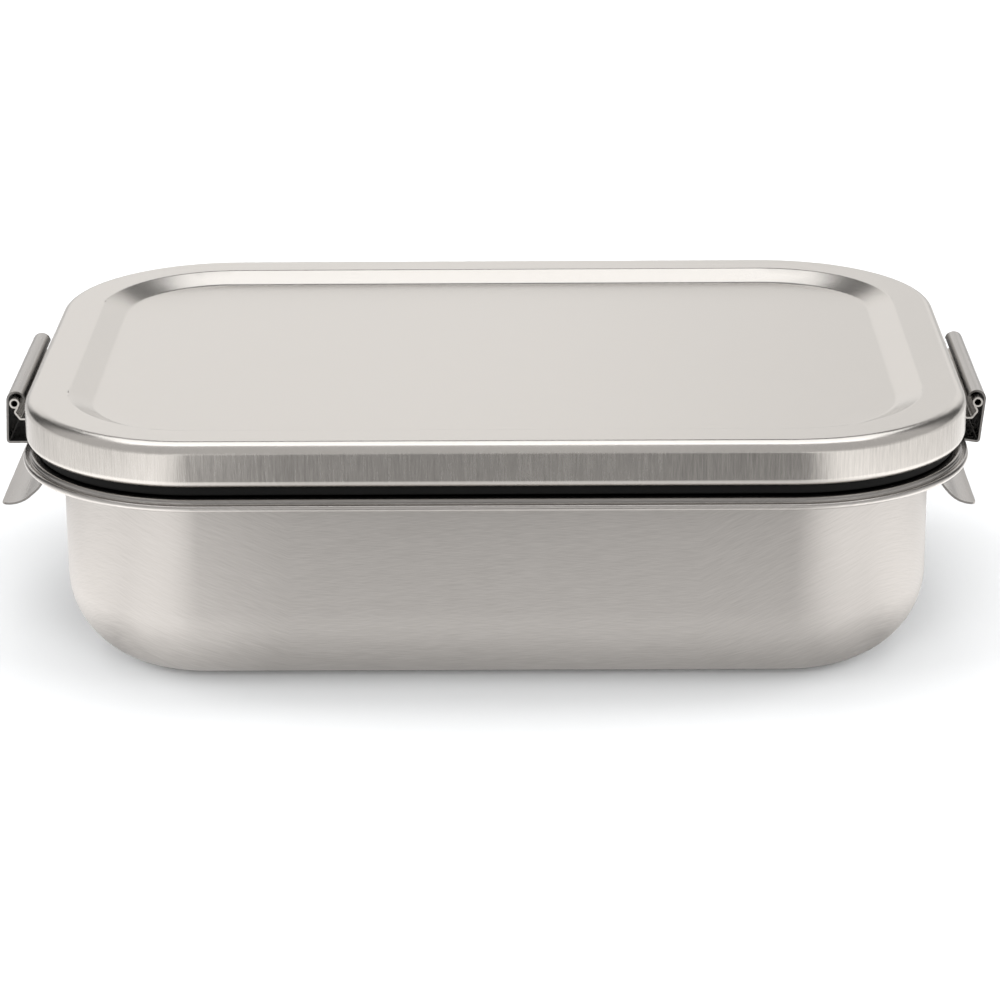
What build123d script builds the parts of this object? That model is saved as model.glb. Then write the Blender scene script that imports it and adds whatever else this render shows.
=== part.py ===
from build123d import *
import os

# Steel lunch box: a deep-drawn tray, a pressed lid with a rubber seal, and two side clips.
# Millimetres, +Z up. The origin is the centre of the tray's flat underside, long side along X.

# overall size
LID_HALF_X = 105.0
LID_HALF_Y = 74.4
LID_CORNER_R = 40.0
TOTAL_HEIGHT = 61.5
SHEET = 0.6
FLAT_OVERLAP = 3.0

# tray, drawn from one sheet, with a flange that steps down to a rolled bead
WALL_INSET = 8.0
WALL_CORNER_R = 32.5
FLOOR_EDGE_R = 20.0
RIM_DROP = 12.7
RIM_TOP = TOTAL_HEIGHT - RIM_DROP
RIM_ROLL_HEIGHT = 2.5
RIM_ROLL_WIDTH = 2.1
RIM_REACH = 8.9
RIM_LEDGE_REACH = 7.5
RIM_STEP = 1.0
WALL_TOP_R = 1.6
STEP_UPPER_R = 0.75
STEP_LOWER_R = 0.2
ROLL_UPPER_R = 0.75
ROLL_LOWER_R = 0.7

# lid, pressed from one sheet, with a shallow sunken panel and its lower edge curled in
SKIRT_HEIGHT = 10.3
HEM_WIDTH = 2.1
HEM_R = 2.0
LID_EDGE_R = 2.6
PANEL_DEPTH = 2.3
STRIP_WIDTH = 9.8
SLOPE_WIDTH = 5.5
SLOPE_TOP_R = 1.6
SLOPE_FOOT_R = 3.0

# seal, a rubber ring that fills the channel behind the skirt
SEAL_GAP = 0.3
SEAL_OUTER_INSET = 2.35
SEAL_INNER_INSET = 8.2
SEAL_TOP_DROP = 4.2
SEAL_LIP_WIDTH = 1.5
SEAL_GROOVE_DEPTH = 2.4
SEAL_SHOULDER = 4.2
SEAL_SHOULDER_SLOPE = 1.2
SEAL_TOP_CHAMFER = 1.8
SEAL_LIP_SETBACK = 1.2
SEAL_EDGE_R = 0.4
SEAL_WALL_GAP = 0.05

# lid brackets, each ending in a rolled knuckle that a clip turns on
BRACKET_LENGTH = 52.0
BRACKET_SHEET = 0.4
KNUCKLE_R = 1.15
KNUCKLE_OUT = 4.0
WELD_PLATE_TOP = 2.4
WELD_PLATE_DROP = 1.7
WEB_FOOT_DROP = 3.9
WEB_FOOT_START = -2.7
WEB_FOOT_END = -1.1
WEB_KNEE = (0.25, -2.1)
WEB_TOP = (-0.5, -0.8)
WEB_BEND_R = 0.7

# clips, each bent from one sheet
CLIP_LENGTH = 47.0
CLIP_SHEET = 0.5
BARREL_R = 2.15
BARREL_END_ANGLE = 8.0
PLATE_OUT = 2.6
LEDGE_DROP = 10.2
LEDGE_IN = 5.6
TONGUE_KNEE_DROP = 19.6
SCOOP_LOW = (0.7, -25.0)
SCOOP_TIP = (4.4, -24.4)
TAB_CORNER_R = 1.2
LEDGE_OUTER_R = 0.9
LEDGE_INNER_R = 1.3
SCOOP_R = 7.0
LENGTH_TOLERANCE = 0.01

# one clip sits a little lower and further in than the other
SIDES = {
    "left": {"side": -1, "knuckle_drop": 6.0, "clip_turn": 0.0},
    "right": {"side": 1, "knuckle_drop": 6.6, "clip_turn": 8.5},
}


def loop_path(half_x, half_y, radius):
    """A closed rounded rectangle that starts in the middle of its +X side."""
    halves = [
        FilletPolyline(
            (side * half_x, 0),
            (side * half_x, side * half_y),
            (-side * half_x, side * half_y),
            (-side * half_x, 0),
            radius=radius,
        )
        for side in (1, -1)
    ]
    return Wire([edge for half in halves for edge in half.edges()])


def sheet_face(points, radii, thickness, side=Side.RIGHT):
    """The section of a bent sheet, from the line of one of its surfaces."""
    line = FilletPolyline(*points, radius=radii)
    return make_face(offset(line, amount=thickness, side=side))


def swept_ring(section, half_x, half_y, radius):
    """A section drawn in the XZ plane from x = 0, carried round a rounded rectangle."""
    placed = Plane.XZ * section
    return sweep(Pos(half_x, 0, 0) * placed, path=loop_path(half_x, half_y, radius))


def flat_plate(half_x, half_y, radius, bottom, thickness):
    """A flat plate with rounded corners."""
    outline = RectangleRounded(2 * half_x, 2 * half_y, radius)
    return extrude(Pos(0, 0, bottom) * outline, amount=thickness)


def make_tray():
    """Floor, wall and rolled rim in one sheet."""
    half_x = LID_HALF_X - WALL_INSET
    half_y = LID_HALF_Y - WALL_INSET
    floor_inset = FLOOR_EDGE_R + FLAT_OVERLAP
    roll_bottom = RIM_TOP - RIM_ROLL_HEIGHT
    inner_surface = [
        (-floor_inset, SHEET),
        (-SHEET, SHEET),
        (-SHEET, RIM_TOP),
        (RIM_LEDGE_REACH, RIM_TOP),
        (RIM_LEDGE_REACH, RIM_TOP - RIM_STEP),
        (RIM_REACH, RIM_TOP - RIM_STEP),
        (RIM_REACH, roll_bottom),
        (RIM_REACH - RIM_ROLL_WIDTH, roll_bottom),
    ]
    wall_radii = [FLOOR_EDGE_R - SHEET, WALL_TOP_R]
    radii = [*wall_radii, STEP_UPPER_R, STEP_LOWER_R, ROLL_UPPER_R, ROLL_LOWER_R]
    section = sheet_face(inner_surface, radii, SHEET)
    shell = swept_ring(section, half_x, half_y, WALL_CORNER_R)
    floor_r = WALL_CORNER_R - floor_inset
    floor = flat_plate(half_x - floor_inset, half_y - floor_inset, floor_r, 0, SHEET)
    return shell + floor


def make_lid():
    """Sunken panel, rim strip and skirt in one sheet."""
    skirt_bottom = TOTAL_HEIGHT - SKIRT_HEIGHT
    panel_top = TOTAL_HEIGHT - PANEL_DEPTH
    panel_inset = STRIP_WIDTH + SLOPE_WIDTH + FLAT_OVERLAP
    outer_surface = [
        (-panel_inset, panel_top),
        (-STRIP_WIDTH - SLOPE_WIDTH, panel_top),
        (-STRIP_WIDTH, TOTAL_HEIGHT),
        (0, TOTAL_HEIGHT),
        (0, skirt_bottom),
        (-HEM_WIDTH, skirt_bottom),
    ]
    radii = [SLOPE_FOOT_R, SLOPE_TOP_R, LID_EDGE_R, HEM_R]
    section = sheet_face(outer_surface, radii, SHEET)
    shell = swept_ring(section, LID_HALF_X, LID_HALF_Y, LID_CORNER_R)
    half_x = LID_HALF_X - panel_inset
    half_y = LID_HALF_Y - panel_inset
    panel_r = LID_CORNER_R - panel_inset
    panel = flat_plate(half_x, half_y, panel_r, panel_top - SHEET, SHEET)
    return shell + panel


def make_seal():
    """Rubber ring with two lips that close on the tray's rim."""
    bottom = RIM_TOP + SEAL_GAP
    top = TOTAL_HEIGHT - SEAL_TOP_DROP
    back = -SHEET - SEAL_WALL_GAP
    outer = -SEAL_OUTER_INSET
    inner = -SEAL_INNER_INSET
    lip_inner = inner + SEAL_LIP_SETBACK
    section = make_face(
        Polyline(
            (outer, bottom),
            (outer, bottom + SEAL_SHOULDER - SEAL_SHOULDER_SLOPE),
            (back, bottom + SEAL_SHOULDER),
            (back, top - SEAL_TOP_CHAMFER),
            (back - SEAL_TOP_CHAMFER, top),
            (inner, top),
            (inner, bottom + SEAL_SHOULDER),
            (lip_inner, bottom),
            (lip_inner + SEAL_LIP_WIDTH, bottom),
            (lip_inner + SEAL_LIP_WIDTH, bottom + SEAL_GROOVE_DEPTH),
            (outer - SEAL_LIP_WIDTH, bottom + SEAL_GROOVE_DEPTH),
            (outer - SEAL_LIP_WIDTH, bottom),
            close=True,
        )
    )
    section = fillet(section.vertices().group_by(Axis.Y)[0], SEAL_EDGE_R)
    return swept_ring(section, LID_HALF_X, LID_HALF_Y, LID_CORNER_R)


def along_y(section, length):
    """A section drawn in the XZ plane, extruded both ways along Y."""
    return extrude(Plane.XZ * section, amount=length / 2, both=True)


def place(shape, side, knuckle_drop):
    """Moves a shape drawn about the right-hand knuckle's axis to its own side of the lid."""
    moved = Pos(LID_HALF_X + KNUCKLE_OUT, 0, TOTAL_HEIGHT - knuckle_drop) * shape
    return moved if side > 0 else mirror(moved, about=Plane.YZ)


def make_bracket(side, knuckle_drop):
    """Weld plate on the skirt, folded out to a rolled knuckle."""
    knuckle = Circle(KNUCKLE_R) - Circle(KNUCKLE_R - BRACKET_SHEET)
    web = sheet_face(
        [
            (-KNUCKLE_OUT, WELD_PLATE_TOP),
            (-KNUCKLE_OUT, -WELD_PLATE_DROP),
            (WEB_FOOT_START, -WEB_FOOT_DROP),
            (WEB_FOOT_END, -WEB_FOOT_DROP),
            WEB_KNEE,
            WEB_TOP,
        ],
        [WEB_BEND_R, WEB_BEND_R, WEB_BEND_R, WEB_BEND_R],
        BRACKET_SHEET,
        Side.LEFT,
    )
    return place(along_y(knuckle + web, BRACKET_LENGTH), side, knuckle_drop)


def make_clip(side, knuckle_drop, clip_turn):
    """Barrel over the knuckle, outer plate, ledge under the rim, and a scooped thumb tab."""
    body = FilletPolyline(
        SCOOP_TIP,
        SCOOP_LOW,
        (-LEDGE_IN, -TONGUE_KNEE_DROP),
        (-LEDGE_IN, -LEDGE_DROP),
        (PLATE_OUT, -LEDGE_DROP),
        (BARREL_R, 0),
        radius=[SCOOP_R, SCOOP_R, LEDGE_INNER_R, LEDGE_OUTER_R],
    )
    barrel = CenterArc((0, 0), BARREL_R, 0, 180 - BARREL_END_ANGLE)
    surface = Wire([*body.edges(), *barrel.edges()])
    section = make_face(offset(surface, amount=CLIP_SHEET, side=Side.LEFT))
    clip = along_y(section, CLIP_LENGTH)
    edges = clip.edges()
    short_edges = edges.filter_by(lambda edge: abs(edge.length - CLIP_SHEET) < LENGTH_TOLERANCE)
    clip = fillet(short_edges.group_by(Axis.X)[-1], TAB_CORNER_R)
    return place(Rot(0, clip_turn, 0) * clip, side, knuckle_drop)


def make_parts():
    """Every sub-part, by the name of its node."""
    parts = {"tray": make_tray(), "lid": make_lid(), "seal": make_seal()}
    for name, fitted in SIDES.items():
        parts[f"{name}_bracket"] = make_bracket(fitted["side"], fitted["knuckle_drop"])
        parts[f"{name}_clip"] = make_clip(**fitted)
    return parts


os.makedirs("parts", exist_ok=True)
for node, shape in make_parts().items():
    export_step(shape, f"parts/{node}.step")
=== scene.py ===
import math

import bpy
from mathutils import Matrix, Vector


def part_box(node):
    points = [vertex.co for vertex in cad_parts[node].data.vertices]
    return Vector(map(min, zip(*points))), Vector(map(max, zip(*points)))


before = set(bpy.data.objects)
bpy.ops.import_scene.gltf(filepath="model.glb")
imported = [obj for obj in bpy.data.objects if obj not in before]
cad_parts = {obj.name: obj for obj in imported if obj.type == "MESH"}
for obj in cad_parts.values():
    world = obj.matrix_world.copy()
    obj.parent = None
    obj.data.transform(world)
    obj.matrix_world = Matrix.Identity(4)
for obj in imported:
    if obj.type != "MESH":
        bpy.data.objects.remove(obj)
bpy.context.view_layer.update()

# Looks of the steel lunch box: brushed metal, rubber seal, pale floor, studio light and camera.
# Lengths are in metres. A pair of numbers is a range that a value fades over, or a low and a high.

LID_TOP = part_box("lid")[1][2]
TRAY_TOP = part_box("tray")[1][2]

# linear colours of the metals and the rubber, dark and light
TRAY_COLOURS = ((0.60, 0.577, 0.552), (0.785, 0.757, 0.732))
LID_COLOURS = ((0.60, 0.575, 0.545), (0.80, 0.77, 0.735))
CLIP_COLOURS = ((0.43, 0.415, 0.40), (0.49, 0.47, 0.45))
BRACKET_COLOURS = ((0.42, 0.40, 0.38), (0.62, 0.60, 0.57))
RUBBER_COLOURS = ((0.0015, 0.0015, 0.0015), (0.004, 0.004, 0.0038))

# roughness and height of the grain
TRAY_ROUGHNESS = (0.34, 0.42)
LID_ROUGHNESS = (0.20, 0.28)
CLIP_ROUGHNESS = (0.22, 0.27)
BRACKET_ROUGHNESS = (0.2, 0.3)
RUBBER_ROUGHNESS = (0.5, 0.65)
TRAY_RELIEF = 0.000015
LID_RELIEF = 0.000015
CLIP_RELIEF = 0.000002
BRACKET_RELIEF = 0.000006
RUBBER_RELIEF = 0.00005
RUBBER_BUMP = 0.3
RUBBER_SPECULAR = 0.15

# how far the noise reaches, and what it does to the steel
NOISE_RANGE = (0.3, 0.7)
GRAIN_RANGE = (0.28, 0.72)
GRAIN_TINT = (0.1, 0.9)
CLOUD_TINT = (-0.1, 0.1)
CLOUD_ROUGHNESS = (-0.025, 0.025)
EVEN_GRAIN = 0.5

# streaks per metre along X, Y and Z
CLOUDS = (16.0, 22.0, 26.0)
FINE_STROKES = (180.0, 180.0, 3600.0)
CROSSED_STROKES = (190.0, 190.0, 2800.0)
HAIRLINES = (2600.0, 2600.0, 160.0)
SKIRT_BANDS = (900.0, 900.0, 40.0)
SATIN = (500.0, 1400.0, 500.0)
CLIP_STROKES = (1500.0, 70.0, 1500.0)
RUBBER_SPECKLE = (900.0, 900.0, 900.0)

# the tray's strokes: their lean along X and Y, and how they arch over the corners
FINE_LEAN = (0.06, -0.06)
CROSSED_LEAN = (-0.16, 0.16)
CROSSED_SHARE = 0.4
ARCH_RISE = -0.024
ARCH_X = (0.045, 0.098)
ARCH_Y = (0.025, 0.06)
TRAY_STRETCH = 0.8
QUARTER_TURN = 0.25

# the lid's skirt and top
SKIRT_TO_TOP = (0.05, 0.4)
HAIRLINE_ROUGHNESS = 0.75
BAND_SHARE = 0.12
TOP_EVENNESS = 0.85

# the smoother bead along the tray's flange, and painted shade on the ledge the lid closes over
BEAD_HEIGHT = 0.0034
BEAD_BLEND = 0.0004
BEAD_ROUGHNESS = 0.25
BEAD_GRAIN = 0.25
LEDGE_HEIGHT = 0.0011
LEDGE_UPRIGHT = (0.85, 0.98)
LEDGE_SHADE = 0.58
LEDGE_REACH = 0.005
LEDGE_OPENNESS = (0.1, 0.55)
LEDGE_DARKEST = 0.2

# painted shade in the hollows behind the clips and in the knuckles, and darker cut ends of the clips
CHANNEL_REACH = 0.012
CHANNEL_OPENNESS = (0.25, 0.58)
CHANNEL_DARKEST = 0.03
KNUCKLE_REACH = 0.0015
KNUCKLE_OPENNESS = (0.15, 0.5)
KNUCKLE_DARKEST = 0.1
CUT_END = (0.8, 0.95)
CUT_END_SHADE = 0.45

# shading of the meshes
MERGE_DISTANCE = 0.000001
SHARP_EDGE = math.radians(38.0)

# the floor, and the glowing sheet the steel reflects in its place: a painted reflection of the floor,
# darker ahead of the box, with a painted shadow around it
FLOOR_HALF = 8.0
FLOOR_COLOUR = (0.42, 0.425, 0.43, 1.0)
FLOOR_ROUGHNESS = 0.9
FLOOR_SPECULAR = 0.1
MIRRORED_HEIGHT = -0.0005
BLACK = (0.0, 0.0, 0.0, 1.0)
WARM_WHITE = (1.0, 0.985, 0.97, 1.0)
DARK_CENTRE = 0.013
DARK_HALF_WIDTH = (0.062, 0.12)
DARK_SPREAD = (0.14, 0.23)
DARK_WIDENING = 0.03
DARK_START = (0.145, 0.185)
DARK_FLOOR = 0.27
NEAR_FLOOR = 0.78
SIDE_FALL = (0.16, 0.26)
SIDE_FLOOR = 1.5
FAR_SIDE_FLOOR = 0.9
SIDE_BACK = (-0.02, 0.06)
SIDE_BACK_SHADE = 0.82
SIDE_FRONT = (0.13, 0.19)
SIDE_FRONT_SHADE = 0.78
CONTACT_HALF_X = 0.1
CONTACT_HALF_Y = 0.055
CONTACT_REACH = (-0.012, 0.03)
CONTACT_SHADE = 0.33

# the studio's surroundings, by the parts of a direction: 1 is straight back, right or up
BACKDROP_TOP = (0.46, 0.58)
BACKDROP_EDGE = (0.76, 0.86)
BACKDROP_BRIGHT = 1.02
BACKDROP_RISE = (0.2, 0.31)
BACKDROP_LOW = 0.955
FALL_START = (0.0, 0.11)
FALL_END = (0.14, 0.2)
FALL_LEFT_OVER = 0.2
BACKDROP_RIGHT = 0.88
HORIZON = (0.02, 0.08)
HORIZON_BRIGHT = 0.25
ROOM_EDGE = (0.2, 0.6)
ROOM_BRIGHT = 0.55
GAP_BRIGHT = 0.08

# lights
ORIGIN = (0.0, 0.0, 0.0)
SOFTBOX_PLACE = (0.0, 0.27, 1.0)
SOFTBOX_TARGET = (0.0, 0.27, 0.0)
SOFTBOX_SIZE = (1.3, 1.02)
SOFTBOX_RADIANCE = 1.4
SPILL_PLACE = (0.0, 0.27, 1.02)
SPILL_RADIANCE = 1.6
TOP_FILL_PLACE = (0.0, 0.0, 4.0)
TOP_FILL_SIZE = (8.0, 8.0)
TOP_FILL_RADIANCE = 0.85
SIDE_FILL_SIZE = (4.0, 1.6)
SIDE_FILLS = {
    "front_fill": ((0.0, -3.0, 1.4), 9.6),
    "left_fill": ((-3.0, 0.0, 1.4), 8.0),
    "right_fill": ((3.0, 0.0, 1.4), 8.0),
}

# camera
SENSOR_MM = 36.0
LENS_MM = 129.137
CLIP_RANGE = (0.01, 50.0)
CAMERA_X = 0.0082
CAMERA_Y = -0.79966
CAMERA_ABOVE_LID = 0.239
CAMERA_RIGHT = (0.99995, 0.00717, -0.00672)
CAMERA_UP = (0.00399, 0.32793, 0.94470)


def new_material(name):
    """An empty node material: the material, its node tree and its surface shader."""
    material = bpy.data.materials.new(name)
    material.use_nodes = True
    tree = material.node_tree
    tree.nodes.clear()
    output = tree.nodes.new("ShaderNodeOutputMaterial")
    shader = tree.nodes.new("ShaderNodeBsdfPrincipled")
    tree.links.new(shader.outputs["BSDF"], output.inputs["Surface"])
    return material, tree, shader


def add(tree, kind, inputs=None, **settings):
    """One node: settings are its properties, inputs are numbers or sockets for its inputs."""
    node = tree.nodes.new(kind)
    for key, value in settings.items():
        setattr(node, key, value)
    for key, value in (inputs or {}).items():
        if isinstance(value, bpy.types.NodeSocket):
            tree.links.new(value, node.inputs[key])
        else:
            node.inputs[key].default_value = value
    return node


def math_node(tree, operation, a, b=0.0):
    """The result of a sum on one or two values."""
    return add(tree, "ShaderNodeMath", {0: a, 1: b}, operation=operation).outputs[0]


def product(tree, a, b):
    """Two values multiplied."""
    return math_node(tree, "MULTIPLY", a, b)


def size_of(tree, value):
    """A value without its sign."""
    return math_node(tree, "ABSOLUTE", value)


def spread(tree, value, low, high, out_low, out_high):
    """A value taken from one range to another, held at the ends."""
    inputs = {"Value": value, "From Min": low, "From Max": high, "To Min": out_low, "To Max": out_high}
    return add(tree, "ShaderNodeMapRange", inputs).outputs["Result"]


def streaks(tree, place, scale, detail=2.0, roughness=0.6):
    """Noise drawn out into streaks: a small scale along an axis gives long streaks that way."""
    moved = add(tree, "ShaderNodeVectorMath", {0: place, 1: scale}, operation="MULTIPLY")
    inputs = {"Vector": moved.outputs["Vector"], "Scale": 1.0, "Detail": detail, "Roughness": roughness}
    return add(tree, "ShaderNodeTexNoise", inputs).outputs["Fac"]


def mix_values(tree, factor, a, b):
    """a where the factor is 0, b where it is 1."""
    inputs = {"Factor": factor, "A": a, "B": b}
    return add(tree, "ShaderNodeMix", inputs, data_type="FLOAT").outputs["Result"]


def tint(tree, factor, dark, light):
    """A colour between dark and light."""
    inputs = {0: factor, 6: (*dark, 1.0), 7: (*light, 1.0)}
    return add(tree, "ShaderNodeMix", inputs, data_type="RGBA").outputs[2]


def split(tree, vector):
    """The X, Y and Z of a vector."""
    return add(tree, "ShaderNodeSeparateXYZ", {0: vector}).outputs


def with_height(tree, axes, height):
    """A place with the same X and Y and another height."""
    inputs = {"X": axes["X"], "Y": axes["Y"], "Z": height}
    return add(tree, "ShaderNodeCombineXYZ", inputs).outputs["Vector"]


def surface_place(tree):
    """Where a point lies on its part in metres, and which way the surface faces there."""
    coordinates = add(tree, "ShaderNodeTexCoord").outputs
    return coordinates["Object"], split(tree, coordinates["Normal"])


def slanted(tree, place, lean):
    """The same place with its height sheared by a lean along X and one along Y."""
    axes = split(tree, place)
    shear = math_node(tree, "ADD", product(tree, axes["X"], lean[0]), product(tree, axes["Y"], lean[1]))
    return with_height(tree, axes, math_node(tree, "ADD", axes["Z"], shear))


def corner_arc(tree, place, rise):
    """The same place lifted over the upright corners, so that level strokes arch round them."""
    axes = split(tree, place)
    near_x = spread(tree, size_of(tree, axes["X"]), *ARCH_X, 0.0, 1.0)
    near_y = spread(tree, size_of(tree, axes["Y"]), *ARCH_Y, 0.0, 1.0)
    lift = product(tree, product(tree, near_x, near_y), rise)
    return with_height(tree, axes, math_node(tree, "ADD", axes["Z"], lift))


def openness(tree, reach):
    """From 0 to 1, how little of the view from a point is shut in within a reach of it."""
    return add(tree, "ShaderNodeAmbientOcclusion", {"Distance": reach}).outputs["AO"]


def steel_finish(name, make_grain, colours, roughness, relief, shade=None, on_bead=None):
    """Satin stainless steel whose grain drives its colour, roughness and relief, with faint clouds in it.

    shade darkens the colour in places with painted shade. on_bead gives a smoother bead and, below it,
    reflections drawn out up and down across the strokes.
    """
    material, tree, shader = new_material(name)
    place, facing = surface_place(tree)
    grain = make_grain(tree, place, facing)
    clouds = streaks(tree, place, CLOUDS, detail=3.0)
    grain_tint = spread(tree, grain, *GRAIN_RANGE, *GRAIN_TINT)
    cloud_tint = spread(tree, clouds, *NOISE_RANGE, *CLOUD_TINT)
    colour = tint(tree, math_node(tree, "ADD", grain_tint, cloud_tint), *colours)
    # painted shade: the shade factor darkens the base colour
    if shade:
        inputs = {0: colour, "Scale": shade(tree, place, facing)}
        colour = add(tree, "ShaderNodeVectorMath", inputs, operation="SCALE").outputs[0]
    grain_rough = spread(tree, grain, *NOISE_RANGE, *roughness)
    cloud_rough = spread(tree, clouds, *NOISE_RANGE, *CLOUD_ROUGHNESS)
    rough = math_node(tree, "ADD", grain_rough, cloud_rough)
    if on_bead:
        grain, rough = on_bead(tree, shader, place, grain, rough)
    bump = add(tree, "ShaderNodeBump", {"Strength": 1.0, "Distance": relief, "Height": grain})
    shader.inputs["Metallic"].default_value = 1.0
    tree.links.new(colour, shader.inputs["Base Color"])
    tree.links.new(rough, shader.inputs["Roughness"])
    tree.links.new(bump.outputs["Normal"], shader.inputs["Normal"])
    return material


def smooth_bead(tree, shader, place, grain, rough):
    """The grain and roughness with a smoother bead, and drawn-out reflections below the bead."""
    bead = TRAY_TOP - BEAD_HEIGHT
    below = spread(tree, split(tree, place)["Z"], bead - BEAD_BLEND, bead + BEAD_BLEND, 1.0, 0.0)
    tree.links.new(product(tree, below, TRAY_STRETCH), shader.inputs["Anisotropic"])
    shader.inputs["Anisotropic Rotation"].default_value = QUARTER_TURN
    tangent = add(tree, "ShaderNodeTangent", direction_type="RADIAL", axis="Z")
    tree.links.new(tangent.outputs["Tangent"], shader.inputs["Tangent"])
    faint_grain = mix_values(tree, BEAD_GRAIN, EVEN_GRAIN, grain)
    return mix_values(tree, below, faint_grain, grain), mix_values(tree, below, BEAD_ROUGHNESS, rough)


def tray_grain(tree, place, facing):
    """Short strokes that run round the walls, cross at small angles and arch over the corners."""
    arched = corner_arc(tree, place, ARCH_RISE)
    fine = streaks(tree, slanted(tree, arched, FINE_LEAN), FINE_STROKES)
    crossed = streaks(tree, slanted(tree, arched, CROSSED_LEAN), CROSSED_STROKES)
    return mix_values(tree, CROSSED_SHARE, fine, crossed)


def lid_grain(tree, place, facing):
    """Upright hairlines on the skirt and a soft, nearly even satin on top."""
    flatness = spread(tree, size_of(tree, facing["Z"]), *SKIRT_TO_TOP, 0.0, 1.0)
    hairlines = streaks(tree, place, HAIRLINES, detail=3.0, roughness=HAIRLINE_ROUGHNESS)
    skirt = mix_values(tree, BAND_SHARE, hairlines, streaks(tree, place, SKIRT_BANDS))
    top = mix_values(tree, TOP_EVENNESS, streaks(tree, place, SATIN), EVEN_GRAIN)
    return mix_values(tree, flatness, skirt, top)


def clip_grain(tree, place, facing):
    """Fine strokes along the barrel and the tab."""
    return streaks(tree, place, CLIP_STROKES, detail=1.0)


def ledge_shade(tree, place, facing):
    """Painted shade on the flange's ledge, where the lid closes over it: darker on its upright face,
    darker still where the lid shuts it in.
    """
    ledge = TRAY_TOP - LEDGE_HEIGHT
    above = spread(tree, split(tree, place)["Z"], ledge - BEAD_BLEND, ledge, 0.0, 1.0)
    # painted shade: a fixed darkening on the ledge's upright face, and more where little of the view is
    # open
    upright = spread(tree, size_of(tree, facing["Z"]), *LEDGE_UPRIGHT, LEDGE_SHADE, 1.0)
    shade_under_lid = spread(tree, openness(tree, LEDGE_REACH), *LEDGE_OPENNESS, LEDGE_DARKEST, 1.0)
    return mix_values(tree, above, 1.0, product(tree, upright, shade_under_lid))


def clip_shade(tree, place, facing):
    """Painted shade inside the channel behind the clip, and darker on its cut ends, the faces turned
    along Y.
    """
    channel = spread(tree, openness(tree, CHANNEL_REACH), *CHANNEL_OPENNESS, CHANNEL_DARKEST, 1.0)
    cut_end = spread(tree, size_of(tree, facing["Y"]), *CUT_END, 1.0, CUT_END_SHADE)
    return product(tree, channel, cut_end)


def knuckle_shade(tree, place, facing):
    """Painted shade inside the rolled knuckle and behind the bracket's web."""
    return spread(tree, openness(tree, KNUCKLE_REACH), *KNUCKLE_OPENNESS, KNUCKLE_DARKEST, 1.0)


def rubber(name):
    """Matt black silicone with a faint mould texture."""
    material, tree, shader = new_material(name)
    place = add(tree, "ShaderNodeTexCoord").outputs["Object"]
    speckle = streaks(tree, place, RUBBER_SPECKLE, detail=3.0)
    rough = spread(tree, speckle, *NOISE_RANGE, *RUBBER_ROUGHNESS)
    inputs = {"Strength": RUBBER_BUMP, "Distance": RUBBER_RELIEF, "Height": speckle}
    bump = add(tree, "ShaderNodeBump", inputs)
    shader.inputs["Specular IOR Level"].default_value = RUBBER_SPECULAR
    tree.links.new(rough, shader.inputs["Roughness"])
    tree.links.new(tint(tree, speckle, *RUBBER_COLOURS), shader.inputs["Base Color"])
    tree.links.new(bump.outputs["Normal"], shader.inputs["Normal"])
    return material


def smooth_over_tangent_edges(part):
    """Joins the part's separate faces and shades them as one surface up to its real edges."""
    weld = part.modifiers.new("join_faces", "WELD")
    weld.merge_threshold = MERGE_DISTANCE
    edges = part.modifiers.new("keep_edges", "EDGE_SPLIT")
    edges.split_angle = SHARP_EDGE
    part.modifiers.new("even_normals", "WEIGHTED_NORMAL")


def finish_nodes():
    """Gives every carried-over CAD node its material."""
    tray = steel_finish(
        "tray_steel", tray_grain, TRAY_COLOURS, TRAY_ROUGHNESS, TRAY_RELIEF, ledge_shade, smooth_bead
    )
    lid = steel_finish("lid_steel", lid_grain, LID_COLOURS, LID_ROUGHNESS, LID_RELIEF)
    clip = steel_finish("clip_steel", clip_grain, CLIP_COLOURS, CLIP_ROUGHNESS, CLIP_RELIEF, clip_shade)
    bracket = steel_finish(
        "bracket_steel", clip_grain, BRACKET_COLOURS, BRACKET_ROUGHNESS, BRACKET_RELIEF, knuckle_shade
    )
    finishes = {
        "tray": tray,
        "lid": lid,
        "seal": rubber("seal_rubber"),
        "left_bracket": bracket,
        "right_bracket": bracket,
        "left_clip": clip,
        "right_clip": clip,
    }
    for node, material in finishes.items():
        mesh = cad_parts[node].data
        mesh.materials.clear()
        mesh.materials.append(material)
        smooth_over_tangent_edges(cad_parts[node])


def flat_sheet(name, height):
    """A square sheet of the studio floor."""
    mesh = bpy.data.meshes.new(name)
    signs = ((-1, -1), (1, -1), (1, 1), (-1, 1))
    corners = [(x * FLOOR_HALF, y * FLOOR_HALF, height) for x, y in signs]
    mesh.from_pydata(corners, [], [(0, 1, 2, 3)])
    sheet = bpy.data.objects.new(name, mesh)
    bpy.context.scene.collection.objects.link(sheet)
    return sheet


def make_floor():
    """A plain white floor that runs past every view. The steel reflects a glowing sheet just below it
    instead, a painted reflection of the floor.
    """
    floor = flat_sheet("floor", 0.0)
    material, _, shader = new_material("floor_paint")
    shader.inputs["Base Color"].default_value = FLOOR_COLOUR
    shader.inputs["Roughness"].default_value = FLOOR_ROUGHNESS
    shader.inputs["Specular IOR Level"].default_value = FLOOR_SPECULAR
    floor.data.materials.append(material)
    floor.visible_glossy = False


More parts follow.
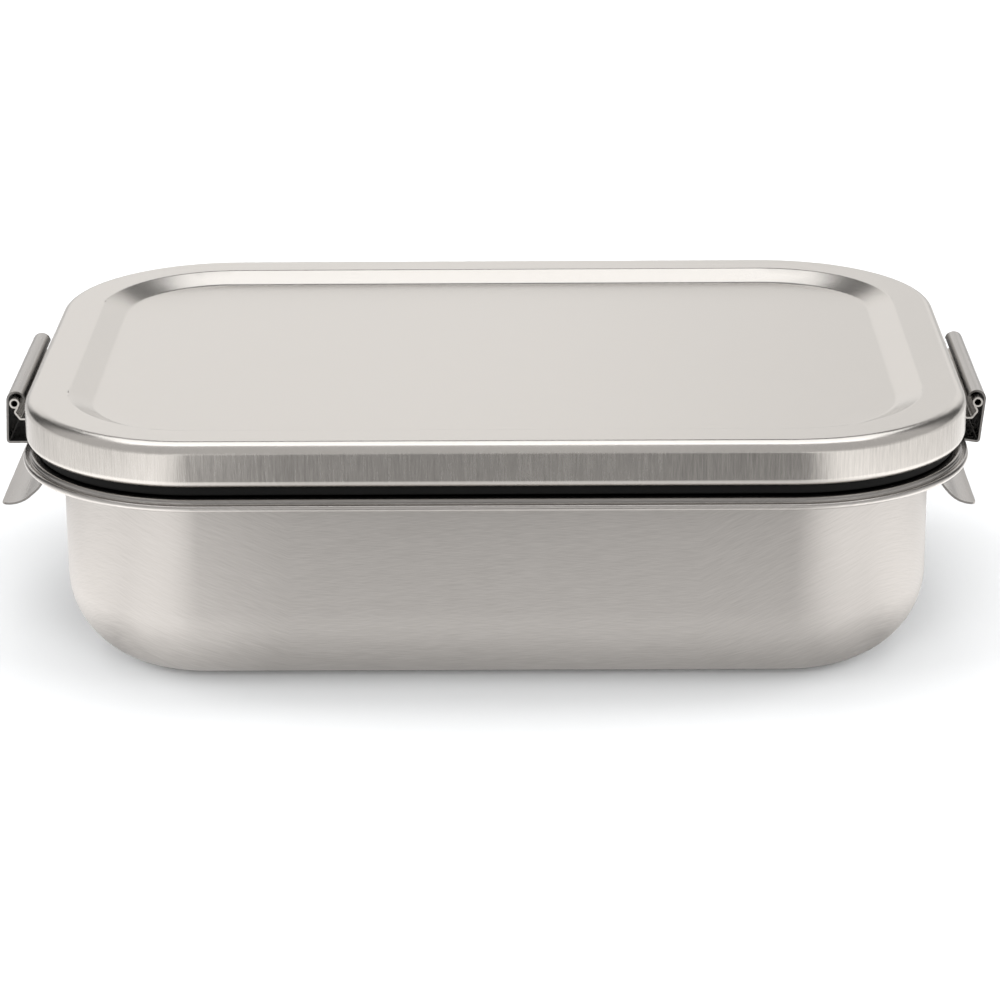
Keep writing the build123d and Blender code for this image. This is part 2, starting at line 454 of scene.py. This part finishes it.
def make_mirrored_floor():
    """The glowing sheet that only shows in reflections: a painted reflection of the floor, white, darker
    ahead of the box, with a painted shadow where it stands.
    """
    mirrored = flat_sheet("floor_in_steel", MIRRORED_HEIGHT)
    material, tree, shader = new_material("floor_in_steel_glow")
    axes = split(tree, add(tree, "ShaderNodeTexCoord").outputs["Object"])
    ahead = product(tree, axes["Y"], -1.0)
    # painted reflection and painted shadow: the sheet's glow is darkened around the box
    glow = product(tree, open_floor_glow(tree, axes, ahead), contact_shade(tree, axes))
    shader.inputs["Base Color"].default_value = BLACK
    shader.inputs["Specular IOR Level"].default_value = 0.0
    shader.inputs["Emission Color"].default_value = WARM_WHITE
    tree.links.new(glow, shader.inputs["Emission Strength"])
    mirrored.data.materials.append(material)
    for ray in ("camera", "diffuse", "shadow", "transmission"):
        setattr(mirrored, "visible_" + ray, False)


def open_floor_glow(tree, axes, ahead):
    """How strongly the sheet glows, a painted reflection of the open floor: dark ahead of the box, bright
    beside it, less so far off.
    """
    sideways = size_of(tree, math_node(tree, "SUBTRACT", axes["X"], DARK_CENTRE))
    widening = spread(tree, ahead, *DARK_SPREAD, 0.0, DARK_WIDENING)
    sideways = math_node(tree, "SUBTRACT", sideways, widening)
    outside = spread(tree, sideways, *DARK_HALF_WIDTH, 0.0, 1.0)
    front = spread(tree, ahead, *DARK_START, NEAR_FLOOR, DARK_FLOOR)
    side = spread(tree, sideways, *SIDE_FALL, SIDE_FLOOR, FAR_SIDE_FLOOR)
    side = product(tree, side, spread(tree, axes["Y"], *SIDE_BACK, 1.0, SIDE_BACK_SHADE))
    side = product(tree, side, spread(tree, ahead, *SIDE_FRONT, 1.0, SIDE_FRONT_SHADE))
    return mix_values(tree, outside, front, side)


def contact_shade(tree, axes):
    """The painted shadow under the box and just around it, in the sheet's glow."""
    beside_x = math_node(tree, "SUBTRACT", size_of(tree, axes["X"]), CONTACT_HALF_X)
    beside_y = math_node(tree, "SUBTRACT", size_of(tree, axes["Y"]), CONTACT_HALF_Y)
    beside = math_node(tree, "MAXIMUM", beside_x, beside_y)
    return spread(tree, beside, *CONTACT_REACH, CONTACT_SHADE, 1.0)


def backdrop_glow(tree, axes):
    """How bright the backdrop is: dim at the horizon, and a little dimmer to the right."""
    ramp_up = spread(tree, axes["X"], *FALL_START, 0.0, 1.0)
    ramp_down = spread(tree, axes["X"], *FALL_END, 1.0, FALL_LEFT_OVER)
    across = spread(tree, product(tree, ramp_up, ramp_down), 0.0, 1.0, 1.0, BACKDROP_RIGHT)
    rise = spread(tree, axes["Z"], *BACKDROP_RISE, BACKDROP_LOW, 1.0)
    horizon = spread(tree, axes["Z"], *HORIZON, HORIZON_BRIGHT, BACKDROP_BRIGHT)
    return product(tree, product(tree, across, rise), horizon)


def make_sky():
    """Studio surroundings: a bright backdrop, dark gaps beside and above it, and grey at the front."""
    world = bpy.data.worlds.new("studio")
    bpy.context.scene.world = world
    world.use_nodes = True
    tree = world.node_tree
    tree.nodes.clear()
    output = tree.nodes.new("ShaderNodeOutputWorld")
    background = tree.nodes.new("ShaderNodeBackground")
    tree.links.new(background.outputs[0], output.inputs["Surface"])
    direction = add(tree, "ShaderNodeTexCoord").outputs["Generated"]
    axes = split(tree, direction)
    flat = add(tree, "ShaderNodeVectorMath", {0: direction, 1: (1.0, 1.0, 0.0)}, operation="MULTIPLY")
    level = add(tree, "ShaderNodeVectorMath", {0: flat.outputs[0]}, operation="LENGTH")
    facing = math_node(tree, "DIVIDE", axes["Y"], level.outputs["Value"])
    low = spread(tree, axes["Z"], *BACKDROP_TOP, 1.0, 0.0)
    behind = spread(tree, facing, *BACKDROP_EDGE, 0.0, 1.0)
    room = spread(tree, facing, *ROOM_EDGE, ROOM_BRIGHT, GAP_BRIGHT)
    strength = mix_values(tree, product(tree, low, behind), room, backdrop_glow(tree, axes))
    background.inputs["Color"].default_value = WARM_WHITE
    tree.links.new(strength, background.inputs["Strength"])


def area_light(name, place, target, size, radiance, in_reflections=False):
    """A soft rectangular light of even radiance that faces a point."""
    light = bpy.data.lights.new(name, "AREA")
    light.shape = "RECTANGLE"
    light.size, light.size_y = size
    light.energy = radiance * size[0] * size[1] * math.pi
    lamp = bpy.data.objects.new(name, light)
    lamp.location = place
    direction = Vector(target) - Vector(place)
    lamp.rotation_mode = "QUATERNION"
    lamp.rotation_quaternion = direction.to_track_quat("-Z", "Y")
    lamp.visible_glossy = in_reflections
    bpy.context.scene.collection.objects.link(lamp)


def make_lights():
    """One softbox overhead that shows in the steel, and lights that only reach floor and rubber."""
    area_light("softbox", SOFTBOX_PLACE, SOFTBOX_TARGET, SOFTBOX_SIZE, SOFTBOX_RADIANCE, True)
    area_light("softbox_spill", SPILL_PLACE, SOFTBOX_TARGET, SOFTBOX_SIZE, SPILL_RADIANCE)
    area_light("floor_fill", TOP_FILL_PLACE, ORIGIN, TOP_FILL_SIZE, TOP_FILL_RADIANCE)
    for name, (place, radiance) in SIDE_FILLS.items():
        area_light(name, place, ORIGIN, SIDE_FILL_SIZE, radiance)


def make_camera():
    """A long lens, looking down at the front long side."""
    data = bpy.data.cameras.new("camera")
    data.sensor_width = SENSOR_MM
    data.lens = LENS_MM
    data.clip_start, data.clip_end = CLIP_RANGE
    camera = bpy.data.objects.new("camera", data)
    bpy.context.scene.collection.objects.link(camera)
    right = Vector(CAMERA_RIGHT)
    up = Vector(CAMERA_UP)
    turn = Matrix((right, up, right.cross(up))).transposed().to_4x4()
    place = (CAMERA_X, CAMERA_Y, LID_TOP + CAMERA_ABOVE_LID)
    camera.matrix_world = Matrix.Translation(place) @ turn
    bpy.context.scene.camera = camera


finish_nodes()
make_floor()
make_mirrored_floor()
make_sky()
make_lights()
make_camera()
bpy.context.scene.view_settings.view_transform = "Standard"
